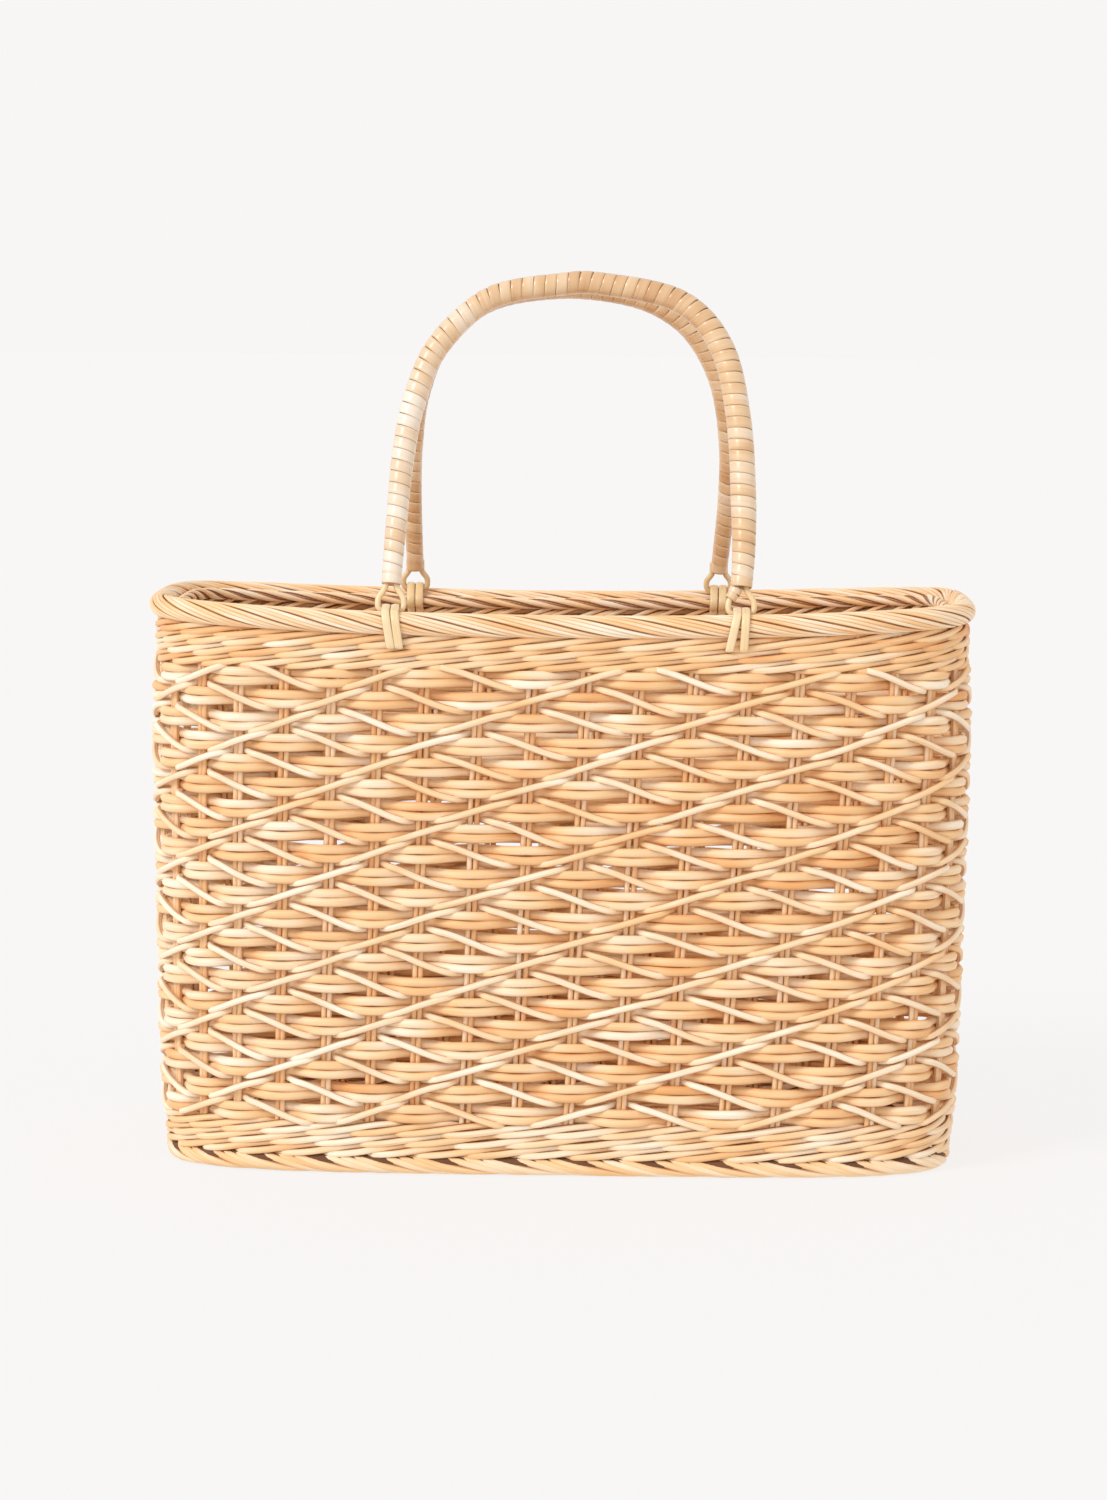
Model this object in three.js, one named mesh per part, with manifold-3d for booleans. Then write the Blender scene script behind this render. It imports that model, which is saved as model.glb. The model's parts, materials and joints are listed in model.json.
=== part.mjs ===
// A straw basket bag of woven cane: an open oblong basket with two wrapped, arched handles.
// Each handle ends in two cane loops, and strips of cane tie the loops to the basket's rim, so that the handle
// tilts about its loops. Millimetres, +Z up, +X along the basket, front face towards -Y, standing on Z = 0.
import * as THREE from "three";
import { mergeVertices } from "three/addons/utils/BufferGeometryUtils.js";
import Module from "manifold-3d";

const wasm = await Module();
wasm.setup();

// Running gap between pieces that touch on the real bag.
const GAP = 0.3;

// Outer face of the woven side. In plan it is a superellipse. It leans out by its flare from the foot to the
// rim, and bellies out a little at half height.
const PLAN_EXPONENT = 4.4;
const FOOT_HALF_LENGTH = 192.6;
const FOOT_HALF_DEPTH = 79.5;
const FLARE_LENGTH = 5.5;
const FLARE_DEPTH = 6.6;
const BELLY = 0.3;
const STATIONS = 80;

// Levels of the side, from the foot up. The rim rises towards both ends of the basket.
const FOOT_ROPE_DIAMETER = 9.6;
const LOWER_WALE_HEIGHT = 14.4;
const WEAVE_HEIGHT = 220.5;
const UPPER_WALE_HEIGHT = 14.5;
const RIM_END_RISE = 5.8;

// Thickness of the side: two layers of weavers with the stakes between them.
const WEAVE_THICKNESS = 10.2;
const WALE_THICKNESS = 8.1;
const BASE_MAT_THICKNESS = 5;
const BASE_MAT_CLEARANCE = 5.5;

// Rim: a thick rolled border on top of the side, and a thinner rope along its inner side, a little lower.
const RIM_ROLL_DIAMETER = 11.2;
const RIM_ROLL_OVERHANG = 1.9;
const INNER_ROPE_DIAMETER = 5.6;
const INNER_ROPE_ANGLE = -4;

// Handles. The feet are the places of the cane loops along the rim.
const FRONT_FOOT_LEFT = -79.8;
const FRONT_FOOT_RIGHT = 85.6;
const BACK_FOOT_LEFT = -77.2;
const BACK_FOOT_RIGHT = 77.2;
// From the axis that the handle tilts about to the middle of its crown, and how far it leans in over the bag.
const FRONT_HANDLE_HEIGHT = 159.4;
const BACK_HANDLE_HEIGHT = 157.7;
const HANDLE_LEAN = 15;
const GRIP_DIAMETER = 11.8;
const GRIP_SIDES = 10;
const GRIP_STEPS = 40;

// Cane loop at a handle's end: a round cane bent to an eye, whose bottom lies under the tie.
const LOOP_CANE_DIAMETER = 2.9;
const LOOP_HALF_WIDTH = 6.1;
const LOOP_CORNER_RADIUS = 2.3;
const LOOP_SHOULDER_HEIGHT = 4.2;
const LOOP_LEG_OFFSET = 2.2;
const FRONT_LOOP_HEIGHT = 12.5;
const BACK_LOOP_HEIGHT = 10;
const LOOP_POCKET_DEPTH = 9;
// Where the loop's cane lies on the rim roll, as an angle above the horizontal on its inner side.
const LOOP_SEAT_ANGLE = 50;

// Tie: a flat strip of cane that goes twice round the rim and the loop, and through the side below the rim.
const STRIP_WIDTH = 3.9;
const STRIP_THICKNESS = 1.6;
const STRIP_TURN_GAP = 0.3;
const SLOT_DROP = 5.6;

// Strip bound round one leg of the front handle's right loop.
const BINDING_TOP_DIAMETER = 5.6;
const BINDING_END_DIAMETER = 4.4;
const BINDING_LENGTH = 5;

// Colours of the cane.
const WEAVE_COLOUR = 0xe9bd8c;
const ROPE_COLOUR = 0xe6b682;
const PEEL_COLOUR = 0xecd0a6;
const TIE_COLOUR = 0xe8cb94;

// Heights that follow from the sizes above.
const WALE_FOOT_Z = FOOT_ROPE_DIAMETER + GAP;
const WEAVE_FOOT_Z = FOOT_ROPE_DIAMETER + LOWER_WALE_HEIGHT;
const WEAVE_TOP_Z = WEAVE_FOOT_Z + WEAVE_HEIGHT;
const ROLL_FOOT_Z = WEAVE_TOP_Z + UPPER_WALE_HEIGHT;
const ROLL_RADIUS = RIM_ROLL_DIAMETER / 2;
const ROLL_AXIS_Z = ROLL_FOOT_Z + ROLL_RADIUS;
const WAIST_Z = (WEAVE_FOOT_Z + WEAVE_TOP_Z) / 2;
const LOOP_RADIUS = LOOP_CANE_DIAMETER / 2;

const radians = (degrees) => THREE.MathUtils.degToRad(degrees);
const lerp = THREE.MathUtils.lerp;

// The basket's plan

// Half length and half depth of the side's outer face at a height.
function halfSizes(z) {
  const up = z / ROLL_AXIS_Z;
  const belly = BELLY * (z < WAIST_Z ? z / WAIST_Z : (ROLL_AXIS_Z - z) / (ROLL_AXIS_Z - WAIST_Z));
  return {
    length: FOOT_HALF_LENGTH + FLARE_LENGTH * up + belly,
    depth: FOOT_HALF_DEPTH + FLARE_DEPTH * up + belly,
  };
}

// Superellipse point at a plan angle.
function planPoint(angle, half) {
  const power = 2 / PLAN_EXPONENT;
  const c = Math.cos(angle);
  const s = Math.sin(angle);
  return new THREE.Vector2(
    Math.sign(c) * half.length * Math.abs(c) ** power,
    Math.sign(s) * half.depth * Math.abs(s) ** power,
  );
}

// Outward normal of the superellipse at one of its points.
function planNormal(point, half) {
  const power = PLAN_EXPONENT - 1;
  return new THREE.Vector2(
    (Math.sign(point.x) * Math.abs(point.x / half.length) ** power) / half.length,
    (Math.sign(point.y) * Math.abs(point.y / half.depth) ** power) / half.depth,
  ).normalize();
}

// Plan angles that share the waist's outline out into equal lengths.
function equalStations(count) {
  const fine = 8000;
  const half = halfSizes(WAIST_Z);
  const lengths = [0];
  let previous = planPoint(0, half);
  for (let i = 1; i <= fine; i++) {
    const next = planPoint((2 * Math.PI * i) / fine, half);
    lengths.push(lengths[i - 1] + next.distanceTo(previous));
    previous = next;
  }
  const angles = [];
  let at = 0;
  for (let k = 0; k < count; k++) {
    const wanted = (lengths[fine] * (k + 0.5)) / count;
    while (lengths[at + 1] < wanted) at++;
    angles.push((2 * Math.PI * at) / fine);
  }
  return angles;
}

const stationAngles = equalStations(STATIONS);

// How far the rim has risen at a place along the basket.
const rimRise = (x) => RIM_END_RISE * (x / halfSizes(ROLL_AXIS_Z).length) ** 2;

// Distance from the middle plane to the side's outer face, at a place along the basket.
function faceDepth(x, z) {
  const half = halfSizes(z);
  return half.depth * (1 - Math.abs(x / half.length) ** PLAN_EXPONENT) ** (1 / PLAN_EXPONENT);
}

// Meshes

// Closed skin through rings of equally many points. A hoop joins its last ring to its first, a rod is capped.
function loft(rings, isHoop) {
  const count = rings[0].length;
  const positions = rings.flat().flatMap((p) => [p.x, p.y, p.z]);
  const index = [];
  const spans = isHoop ? rings.length : rings.length - 1;
  for (let i = 0; i < spans; i++) {
    const here = i * count;
    const there = ((i + 1) % rings.length) * count;
    for (let j = 0; j < count; j++) {
      const k = (j + 1) % count;
      index.push(here + j, here + k, there + k, here + j, there + k, there + j);
    }
  }
  if (!isHoop) {
    const last = (rings.length - 1) * count;
    for (let j = 1; j < count - 1; j++) {
      index.push(0, j + 1, j, last, last + j, last + j + 1);
    }
  }
  const geometry = new THREE.BufferGeometry();
  geometry.setAttribute("position", new THREE.Float32BufferAttribute(positions, 3));
  geometry.setIndex(index);
  return geometry;
}

// Solid of a closed geometry, for cutting.
function solidOf(geometry) {
  const merged = mergeVertices(geometry.clone(), 1e-4);
  const triVerts = new Uint32Array(merged.index.array);
  return new wasm.Manifold(
    new wasm.Mesh({ numProp: 3, vertProperties: merged.attributes.position.array, triVerts }),
  );
}

function geometryOf(solid) {
  const mesh = solid.getMesh();
  const geometry = new THREE.BufferGeometry();
  geometry.setAttribute("position", new THREE.Float32BufferAttribute(mesh.vertProperties, 3));
  geometry.setIndex(new THREE.Uint32BufferAttribute(mesh.triVerts, 1));
  return geometry;
}

function cut(geometry, tools) {
  let solid = solidOf(geometry);
  for (const tool of tools) solid = solid.subtract(solidOf(tool));
  return geometryOf(solid);
}

const group = new THREE.Group();

function addPiece(name, geometry, colour, roughness, parent = group) {
  const faceted = geometry.toNonIndexed();
  faceted.computeVertexNormals();
  const material = new THREE.MeshStandardMaterial({ color: colour, roughness, metalness: 0 });
  const mesh = new THREE.Mesh(faceted, material);
  mesh.name = name;
  parent.add(mesh);
}

// Hoop round the basket. Its profile gives {inset, z} points: inset from the side's outer face, z as a height.
function hoop(profileAt) {
  const rings = stationAngles.map((angle) => {
    const x = planPoint(angle, halfSizes(ROLL_AXIS_Z)).x;
    return profileAt(x).map(({ inset, z }) => {
      const half = halfSizes(z);
      const point = planPoint(angle, half);
      const normal = planNormal(point, half);
      return new THREE.Vector3(point.x - inset * normal.x, point.y - inset * normal.y, z);
    });
  });
  return loft(rings, true);
}

// Regular polygon as a hoop's profile, with a flat at its bottom.
function roundProfile(sides, radius, inset, z) {
  return Array.from({ length: sides }, (_, i) => {
    const turn = (2 * Math.PI * (i + 0.5)) / sides - Math.PI / 2;
    return { inset: inset - radius * Math.cos(turn), z: z + radius * Math.sin(turn) };
  }).reverse();
}

// Upright band from one height to another, with rings between them where the side bends.
function bandProfile(thickness, heights) {
  const outside = heights.map((z) => ({ inset: 0, z }));
  const inside = heights.map((z) => ({ inset: thickness, z })).reverse();
  return [...outside, ...inside].reverse();
}

// Rod along points, with a section of {side, up} offsets at each. sideways is the section's side direction.
function rod(points, sectionAt, sideways) {
  const rings = points.map((point, i) => {
    const before = points[Math.max(i - 1, 0)];
    const after = points[Math.min(i + 1, points.length - 1)];
    const along = after.clone().sub(before).normalize();
    const side = sideways.clone().addScaledVector(along, -sideways.dot(along)).normalize();
    const up = along.clone().cross(side);
    return sectionAt(i).map((offset) =>
      point.clone().addScaledVector(side, offset.side).addScaledVector(up, offset.up),
    );
  });
  return loft(rings, false);
}

function roundSection(sides, radius) {
  return Array.from({ length: sides }, (_, i) => {
    const turn = (2 * Math.PI * i) / sides;
    return { side: radius * Math.cos(turn), up: radius * Math.sin(turn) };
  });
}

// The basket

const footRadius = FOOT_ROPE_DIAMETER / 2;
const FOOT_SIDES = 8;
const ROLL_SIDES = 10;
const INNER_ROPE_SIDES = 6;

// The foot rope's lowest flat lies on the floor, so its corners stand a little further out than its radius.
const footCorner = footRadius / Math.cos(Math.PI / FOOT_SIDES);
addPiece(
  "foot_rope",
  hoop(() => roundProfile(FOOT_SIDES, footCorner, footRadius, footRadius)),
  ROPE_COLOUR,
  0.6,
);

addPiece(
  "lower_wale",
  hoop(() => bandProfile(WALE_THICKNESS, [WALE_FOOT_Z, WEAVE_FOOT_Z])),
  WEAVE_COLOUR,
  0.6,
);

const weaveLevels = [WEAVE_FOOT_Z + GAP, WAIST_Z, WEAVE_TOP_Z];
addPiece(
  "side_weave",
  hoop(() => bandProfile(WEAVE_THICKNESS, weaveLevels)),
  WEAVE_COLOUR,
  0.6,
);

// Base mat: a woven plate that fills the foot, carried on the foot rope's inner side.
const matInset = footCorner + footRadius + GAP;
const matFootZ = BASE_MAT_CLEARANCE;
const matRings = [matFootZ, matFootZ + BASE_MAT_THICKNESS].map((z) =>
  stationAngles.map((angle) => {
    const half = halfSizes(footRadius);
    const point = planPoint(angle, half);
    const normal = planNormal(point, half);
    return new THREE.Vector3(point.x - matInset * normal.x, point.y - matInset * normal.y, z);
  }),
);
addPiece("base_mat", loft(matRings, false), WEAVE_COLOUR, 0.6);

// Rim roll and the rope on its inner side. Places near them are given from the roll's axis, as inward and up.
const rollInset = ROLL_RADIUS - RIM_ROLL_OVERHANG;
addPiece(
  "rim_roll",
  hoop((x) => roundProfile(ROLL_SIDES, ROLL_RADIUS, rollInset, ROLL_AXIS_Z + rimRise(x))),
  ROPE_COLOUR,
  0.6,
);

const innerRopeRadius = INNER_ROPE_DIAMETER / 2;
const innerRopeReach = ROLL_RADIUS + innerRopeRadius + GAP;
const innerRope = {
  inward: innerRopeReach * Math.cos(radians(INNER_ROPE_ANGLE)),
  up: innerRopeReach * Math.sin(radians(INNER_ROPE_ANGLE)),
};
addPiece(
  "rim_inner_rope",
  hoop((x) =>
    roundProfile(
      INNER_ROPE_SIDES,
      innerRopeRadius,
      rollInset + innerRope.inward,
      ROLL_AXIS_Z + rimRise(x) + innerRope.up,
    ),
  ),
  ROPE_COLOUR,
  0.6,
);

// Where each handle stands: side is -1 at the front and +1 at the back.
const handles = [
  {
    name: "front",
    side: -1,
    feet: [FRONT_FOOT_LEFT, FRONT_FOOT_RIGHT],
    height: FRONT_HANDLE_HEIGHT,
    loopHeight: FRONT_LOOP_HEIGHT,
    // Centreline and girth between the left foot and the right one: across as a share of half the span
    // between the feet, up as a share of the handle's height, girth as a share of the grip's diameter.
    rows: [
      { across: -0.976, up: 0.273, girth: 0.86 },
      { across: -0.945, up: 0.47, girth: 0.94 },
      { across: -0.887, up: 0.638, girth: 0.98 },
      { across: -0.756, up: 0.807, girth: 0.97 },
      { across: -0.461, up: 0.953, girth: 0.94 },
      { across: -0.058, up: 0.998, girth: 0.93 },
      { across: 0.193, up: 1.0, girth: 0.93 },
      { across: 0.634, up: 0.948, girth: 0.97 },
      { across: 0.878, up: 0.808, girth: 1.0 },
      { across: 0.979, up: 0.585, girth: 1.02 },
      { across: 1.009, up: 0.343, girth: 1.04 },
      { across: 1.012, up: 0.187, girth: 0.94 },
    ],
    footGirths: [0.79, 0.86],
  },
  {
    name: "back",
    side: 1,
    feet: [BACK_FOOT_LEFT, BACK_FOOT_RIGHT],
    height: BACK_HANDLE_HEIGHT,
    loopHeight: BACK_LOOP_HEIGHT,
    rows: [
      { across: -1.01, up: 0.322, girth: 0.76 },
      { across: -1.004, up: 0.487, girth: 0.86 },
      { across: -0.958, up: 0.657, girth: 0.93 },
      { across: -0.806, up: 0.833, girth: 0.94 },
      { across: -0.497, up: 0.958, girth: 0.93 },
      { across: -0.052, up: 1.0, girth: 0.93 },
      { across: 0.348, up: 0.984, girth: 0.93 },
      { across: 0.627, up: 0.935, girth: 0.94 },
      { across: 0.841, up: 0.842, girth: 0.94 },
      { across: 0.991, up: 0.689, girth: 0.9 },
      { across: 1.049, up: 0.487, girth: 0.82 },
      { across: 1.04, up: 0.289, girth: 0.75 },
    ],
    footGirths: [0.73, 0.72],
  },
];

// The loops' seat on the roll's inner shoulder is the axis that the handle tilts about.
const seatReach = ROLL_RADIUS + LOOP_RADIUS + GAP;
const seat = {
  inward: seatReach * Math.cos(radians(LOOP_SEAT_ANGLE)),
  up: seatReach * Math.sin(radians(LOOP_SEAT_ANGLE)),
};
const mean = (values) => values.reduce((sum, value) => sum + value, 0) / values.length;

for (const handle of handles) {
  handle.rollY = handle.side * mean(handle.feet.map((x) => faceDepth(x, ROLL_AXIS_Z) - rollInset));
  handle.rollZ = ROLL_AXIS_Z + mean(handle.feet.map(rimRise));
  handle.axisY = handle.rollY - handle.side * seat.inward;
  handle.axisZ = handle.rollZ + seat.up;
}

// The ties

// Direction, in degrees, in which the tight strip leaves the first of two rounds for the second.
function tangentAngle(first, second, turn) {
  const inward = second.inward - first.inward;
  const up = second.up - first.up;
  const share = (first.radius - second.radius) / Math.hypot(inward, up);
  return THREE.MathUtils.radToDeg(Math.atan2(up, inward) + turn * Math.acos(share));
}

function arcPoints(round, from, to, steps) {
  return Array.from({ length: steps + 1 }, (_, i) => {
    const angle = radians(lerp(from, to, i / steps));
    return {
      inward: round.inward + round.radius * Math.cos(angle),
      up: round.up + round.radius * Math.sin(angle),
    };
  });
}

// Where the strip meets the roll outside and leaves the inner rope, as angles round them.
const WRAP_START_ANGLE = 190;
const WRAP_END_ANGLE = -75;

// One turn of the strip's middle line, from the slot's outer mouth over the rim to its inner mouth. At each
// mouth it bends round the slot's edge, by shares of its stand-off from what it passes.
const standOff = GAP + STRIP_THICKNESS / 2;
const slotUp = -(ROLL_RADIUS + SLOT_DROP);
const outerFace = -rollInset;
const innerFace = outerFace + WALE_THICKNESS;
function strapTurn() {
  const roll = { inward: 0, up: 0, radius: ROLL_RADIUS + standOff };
  const cane = { ...seat, radius: LOOP_RADIUS + standOff };
  const rope = { ...innerRope, radius: innerRopeRadius + standOff };
  const rollToCane = tangentAngle(roll, cane, 1);
  const caneToRope = tangentAngle(cane, rope, 1);
  return [
    { inward: outerFace, up: slotUp },
    { inward: outerFace - standOff * 0.85, up: slotUp + standOff * 0.5 },
    { inward: outerFace - standOff * 1.2, up: slotUp + standOff * 1.5 },
    ...arcPoints(roll, WRAP_START_ANGLE, rollToCane, 5),
    ...arcPoints(cane, rollToCane, caneToRope, 4),
    ...arcPoints(rope, caneToRope, WRAP_END_ANGLE, 4),
    { inward: innerFace + standOff * 1.15, up: slotUp + standOff * 0.6 },
    { inward: innerFace + standOff * 0.2, up: slotUp },
  ];
}

// Two turns side by side. The strip's ends lie in the slot's mouths, and it crosses over between them.
const turnOffset = (STRIP_WIDTH + STRIP_TURN_GAP) / 2;
const tuckIn = WALE_THICKNESS * 0.2;
const crossFrom = innerFace - WALE_THICKNESS * 0.12;
const crossTo = outerFace + WALE_THICKNESS * 0.4;
function tieGeometry(handle, x) {
  const at = (inward, up, across) =>
    new THREE.Vector3(x + across, handle.rollY - handle.side * inward, handle.rollZ + up);
  const turnAt = (across) => strapTurn().map((p) => at(p.inward, p.up, across));
  const points = [
    at(outerFace + tuckIn, slotUp, -turnOffset),
    ...turnAt(-turnOffset),
    at(crossFrom, slotUp, -turnOffset),
    at(crossTo, slotUp, turnOffset),
    ...turnAt(turnOffset),
    at(innerFace - tuckIn / 2, slotUp, turnOffset),
  ];
  const halfWidth = STRIP_WIDTH / 2;
  const halfThickness = STRIP_THICKNESS / 2;
  const section = [
    { side: halfWidth, up: 0 },
    { side: halfWidth * 0.6, up: halfThickness },
    { side: -halfWidth * 0.6, up: halfThickness },
    { side: -halfWidth, up: 0 },
    { side: -halfWidth * 0.6, up: -halfThickness },
    { side: halfWidth * 0.6, up: -halfThickness },
  ];
  return rod(points, () => section, new THREE.Vector3(1, 0, 0));
}

// Slot for a tie, right through the wale.
function slotGeometry(handle, x) {
  const width = 2 * turnOffset + STRIP_WIDTH + 2 * GAP;
  const height = STRIP_THICKNESS + 2 * GAP;
  const slot = new THREE.BoxGeometry(width, WALE_THICKNESS * 3, height);
  slot.deleteAttribute("normal");
  slot.deleteAttribute("uv");
  slot.translate(x, handle.rollY, handle.rollZ + slotUp);
  return slot;
}

const upperWale = hoop((x) =>
  bandProfile(WALE_THICKNESS, [WEAVE_TOP_Z + GAP, ROLL_FOOT_Z - GAP + rimRise(x)]),
);
const slots = handles.flatMap((handle) => handle.feet.map((x) => slotGeometry(handle, x)));
addPiece("upper_wale", cut(upperWale, slots), WEAVE_COLOUR, 0.6);

const ends = ["left", "right"];
for (const handle of handles) {
  handle.feet.forEach((x, i) => {
    addPiece(`tie_${handle.name}_${ends[i]}`, tieGeometry(handle, x), TIE_COLOUR, 0.4);
  });
}

// The handles

// Each handle is modelled upright on its axis and leans about it. A leaning handle's pieces are given as x
// along the basket, y across the handle's plane and z up from the axis.

// Right half of a loop's middle line, from the bottom of its eye up into the handle, as across and up.
function halfLoop(loopHeight) {
  const straight = LOOP_HALF_WIDTH - LOOP_CORNER_RADIUS;
  const corner = Array.from({ length: 5 }, (_, i) => {
    const turn = (i / 4) * (Math.PI / 2);
    return {
      across: straight + LOOP_CORNER_RADIUS * Math.sin(turn),
      up: LOOP_CORNER_RADIUS * (1 - Math.cos(turn)),
    };
  });
  // The leg swings in from the eye's shoulder to its place in the handle along half a cosine wave.
  const leg = Array.from({ length: 5 }, (_, i) => {
    const share = (1 - Math.cos((i / 4) * Math.PI)) / 2;
    return {
      across: lerp(LOOP_HALF_WIDTH, LOOP_LEG_OFFSET, share),
      up: lerp(LOOP_SHOULDER_HEIGHT, loopHeight, i / 4),
    };
  });
  return [...corner, ...leg, { across: LOOP_LEG_OFFSET, up: loopHeight + LOOP_POCKET_DEPTH }];
}

function loopPoints(handle, x, extraTop) {
  const half = halfLoop(handle.loopHeight);
  half[half.length - 1].up += extraTop;
  const left = half.map((p) => ({ across: -p.across, up: p.up })).reverse();
  return [...left, ...half].map((p) => new THREE.Vector3(x + p.across, 0, p.up));
}

const depthways = new THREE.Vector3(0, 1, 0);
const LOOP_SIDES = 6;
function loopGeometry(handle, x, allowance) {
  const section = roundSection(LOOP_SIDES, LOOP_RADIUS + allowance);
  return rod(loopPoints(handle, x, allowance), () => section, depthways);
}

// Wrapped grip: an arched rod that tapers to its ends, with two pockets in each end for the loops' legs.
function gripGeometry(handle) {
  const middle = mean(handle.feet);
  const halfSpan = (handle.feet[1] - handle.feet[0]) / 2;
  const [leftFoot, rightFoot] = handle.feet.map((x) => new THREE.Vector3(x, 0, handle.loopHeight));
  const arch = handle.rows.map(
    (row) => new THREE.Vector3(middle + row.across * halfSpan, 0, row.up * handle.height),
  );
  const path = new THREE.CatmullRomCurve3([leftFoot, ...arch, rightFoot], false, "centripetal");
  const [leftGirth, rightGirth] = handle.footGirths;
  const girths = [leftGirth, ...handle.rows.map((row) => row.girth), rightGirth];
  const last = girths.length - 1;
  const points = [];
  const radii = [];
  for (let i = 0; i <= GRIP_STEPS; i++) {
    const share = i / GRIP_STEPS;
    const row = Math.min(Math.floor(share * last), last - 1);
    const girth = lerp(girths[row], girths[row + 1], share * last - row);
    points.push(path.getPoint(share));
    radii.push((GRIP_DIAMETER * girth) / 2);
  }
  const grip = rod(points, (i) => roundSection(GRIP_SIDES, radii[i]), depthways);
  return cut(
    grip,
    handle.feet.map((x) => loopGeometry(handle, x, GAP)),
  );
}

for (const handle of handles) {
  handle.group = new THREE.Group();
  handle.group.position.set(0, handle.axisY, handle.axisZ);
  handle.group.rotation.x = handle.side * radians(HANDLE_LEAN);
  group.add(handle.group);
  addPiece(`grip_${handle.name}`, gripGeometry(handle), PEEL_COLOUR, 0.45, handle.group);
  handle.feet.forEach((x, i) => {
    const loop = loopGeometry(handle, x, 0);
    addPiece(`loop_${handle.name}_${ends[i]}`, loop, TIE_COLOUR, 0.45, handle.group);
  });
}

// Binding: the end of the front handle's wrapping, wound down the left leg of its right loop.
function bindingGeometry(handle, x) {
  const leg = halfLoop(handle.loopHeight).map((p) => ({ across: -p.across, up: p.up }));
  const legAt = (up) => {
    const next = leg.findIndex((p) => p.up >= up);
    const below = leg[next - 1];
    const share = (up - below.up) / (leg[next].up - below.up);
    return new THREE.Vector3(x + lerp(below.across, leg[next].across, share), 0, up);
  };
  const steps = 4;
  // The sleeve's mouth follows the leg's slant, so it starts a little below the grip's end.
  const top = handle.loopHeight - GAP - BINDING_TOP_DIAMETER * 0.15;
  const points = Array.from({ length: steps + 1 }, (_, i) => legAt(top - (BINDING_LENGTH * i) / steps));
  const radiusAt = (i) => lerp(BINDING_TOP_DIAMETER, BINDING_END_DIAMETER, i / steps) / 2;
  const sleeve = rod(points, (i) => roundSection(LOOP_SIDES, radiusAt(i)), depthways);
  return cut(sleeve, [loopGeometry(handle, x, GAP)]);
}
const [front] = handles;
addPiece("loop_binding", bindingGeometry(front, FRONT_FOOT_RIGHT), PEEL_COLOUR, 0.45, front.group);

export default group;
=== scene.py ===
import json
import math

import bpy
import numpy as np
from mathutils import Euler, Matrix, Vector


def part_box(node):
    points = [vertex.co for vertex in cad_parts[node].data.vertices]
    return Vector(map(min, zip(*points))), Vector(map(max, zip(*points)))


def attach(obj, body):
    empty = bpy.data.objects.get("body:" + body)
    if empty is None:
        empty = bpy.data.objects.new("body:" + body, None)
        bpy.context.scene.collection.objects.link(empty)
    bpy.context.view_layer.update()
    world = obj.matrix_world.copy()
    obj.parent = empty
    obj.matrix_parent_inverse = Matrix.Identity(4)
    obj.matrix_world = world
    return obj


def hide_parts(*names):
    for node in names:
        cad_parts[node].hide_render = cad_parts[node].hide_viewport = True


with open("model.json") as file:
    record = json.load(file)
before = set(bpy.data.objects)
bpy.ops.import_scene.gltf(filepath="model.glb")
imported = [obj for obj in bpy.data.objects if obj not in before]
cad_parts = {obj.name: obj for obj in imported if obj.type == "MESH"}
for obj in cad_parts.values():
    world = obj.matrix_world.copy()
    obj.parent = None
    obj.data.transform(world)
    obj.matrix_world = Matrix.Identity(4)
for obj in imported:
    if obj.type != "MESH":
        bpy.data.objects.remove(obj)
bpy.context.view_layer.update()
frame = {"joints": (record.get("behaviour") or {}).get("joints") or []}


# Camera: a long lens about two metres from the bag's front, a little above the rim, as in the photograph.
# The photograph's frame is 1107 x 1500, so the lens is given for its height on a 36 mm sensor.
EYE = (0.0453, -1.9809, 0.416)
CAMERA_TURN = math.radians(1.432)
CAMERA_TILT = math.radians(6.303)
CAMERA_ROLL = math.radians(0.458)
LENS_MM = 97.1

bpy.ops.object.select_all(action="DESELECT")
turned = Euler((0, 0, CAMERA_TURN)).to_matrix()
tilted = Euler((math.pi / 2 - CAMERA_TILT, 0, 0)).to_matrix()
rolled = Euler((0, 0, CAMERA_ROLL)).to_matrix()
bpy.ops.object.camera_add(location=EYE, rotation=(turned @ tilted @ rolled).to_euler())
camera = bpy.context.object
camera.name = "camera"
camera.data.lens = LENS_MM
bpy.context.scene.camera = camera


# Studio: the bag stands on a white paper sweep. The paper glows a little of its own, as an overexposed
# sweep does, so that the shadow on it stays faint. A wide soft key comes from the left, above the camera.
PAPER_WHITE = "#f8f6f5"
PAPER_GLOW = 0.86
GLOW_BRIGHTNESS = 0.99
FLOOR_SIZE = 60
ROOM_LIGHT = 0.88
KEY_STRENGTH = 1.35
KEY_SOFTNESS = math.radians(22)
KEY_AZIMUTH = math.radians(-48)
KEY_HEIGHT = math.radians(34)


def srgb(hex_colour):
    """Linear colour of an sRGB hex value."""
    parts = [int(hex_colour[i : i + 2], 16) / 255 for i in (1, 3, 5)]
    return (*[p / 12.92 if p <= 0.04045 else ((p + 0.055) / 1.055) ** 2.4 for p in parts], 1)


def add_node(tree, kind, settings, inputs):
    """Adds a node with its settings. An input is a value or the socket that feeds it."""
    node = tree.nodes.new("ShaderNode" + kind)
    for name, value in settings.items():
        setattr(node, name, value)
    for name, value in inputs.items():
        if isinstance(value, bpy.types.NodeSocket):
            tree.links.new(value, node.inputs[name])
        else:
            node.inputs[name].default_value = value
    return node


bpy.context.scene.view_settings.view_transform = "Standard"

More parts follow.
